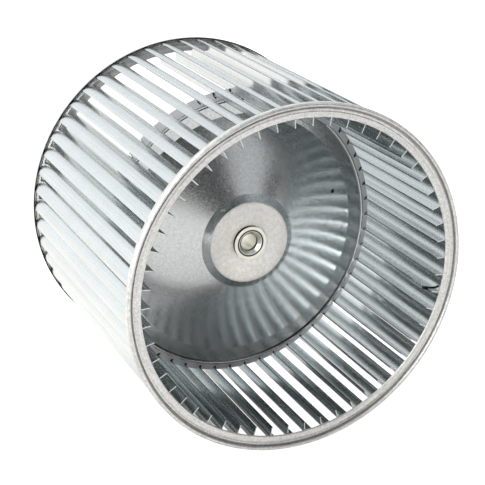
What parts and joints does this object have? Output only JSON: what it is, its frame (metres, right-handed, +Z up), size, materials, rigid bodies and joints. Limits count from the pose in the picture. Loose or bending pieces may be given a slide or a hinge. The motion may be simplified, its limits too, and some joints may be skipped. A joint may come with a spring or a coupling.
{
  "type": "blower wheel",
  "caption": "Double-inlet squirrel-cage blower wheel with forward-curved sheet blades, rolled end rings and a dished centre disc on a set-screw hub.",
  "frame": {"origin": "on the bore axis, halfway between the two end rings", "axes": "+Y along the shaft, from the front inlet towards the rear inlet; +Z up, along the set screw"},
  "size_m": [0.2413, 0.2032, 0.2412],
  "materials": {
    "blade_sheet": "bright galvanised sheet",
    "ring_sheet": "satin galvanised sheet",
    "disc_sheet": "smooth galvanised sheet",
    "hub_steel": "turned, zinc plated",
    "screw_steel": "black oxide",
    "clip_steel": "zinc plated spring steel"
  },
  "bodies": {
    "wheel": {"blade_01": "blade_sheet", "blade_02": "blade_sheet", "blade_03": "blade_sheet", "blade_04": "blade_sheet", "blade_05": "blade_sheet", "blade_06": "blade_sheet", "blade_07": "blade_sheet", "blade_08": "blade_sheet", "blade_09": "blade_sheet", "blade_10": "blade_sheet", "blade_11": "blade_sheet", "blade_12": "blade_sheet", "blade_13": "blade_sheet", "blade_14": "blade_sheet", "blade_15": "blade_sheet", "blade_16": "blade_sheet", "blade_17": "blade_sheet", "blade_18": "blade_sheet", "blade_19": "blade_sheet", "blade_20": "blade_sheet", "blade_21": "blade_sheet", "blade_22": "blade_sheet", "blade_23": "blade_sheet", "blade_24": "blade_sheet", "blade_25": "blade_sheet", "blade_26": "blade_sheet", "blade_27": "blade_sheet", "blade_28": "blade_sheet", "blade_29": "blade_sheet", "blade_30": "blade_sheet", "blade_31": "blade_sheet", "blade_32": "blade_sheet", "blade_33": "blade_sheet", "blade_34": "blade_sheet", "blade_35": "blade_sheet", "blade_36": "blade_sheet", "blade_37": "blade_sheet", "blade_38": "blade_sheet", "blade_39": "blade_sheet", "blade_40": "blade_sheet", "blade_41": "blade_sheet", "blade_42": "blade_sheet", "blade_43": "blade_sheet", "blade_44": "blade_sheet", "blade_45": "blade_sheet", "blade_46": "blade_sheet", "blade_47": "blade_sheet", "blade_48": "blade_sheet", "blade_49": "blade_sheet", "blade_50": "blade_sheet", "blade_51": "blade_sheet", "blade_52": "blade_sheet", "blade_53": "blade_sheet", "blade_54": "blade_sheet", "front_end_ring": "ring_sheet", "rear_end_ring": "ring_sheet", "centre_disc": "disc_sheet", "hub": "hub_steel", "balance_clip": "clip_steel"},
    "set_screw": {"set_screw": "screw_steel"}
  },
  "joints": [
    {"name": "set_screw_travel", "type": "slide", "parent": "wheel", "child": "set_screw", "axis": [0, 0, 1], "range_m": [-0.0008, 0.006]}
  ]
}
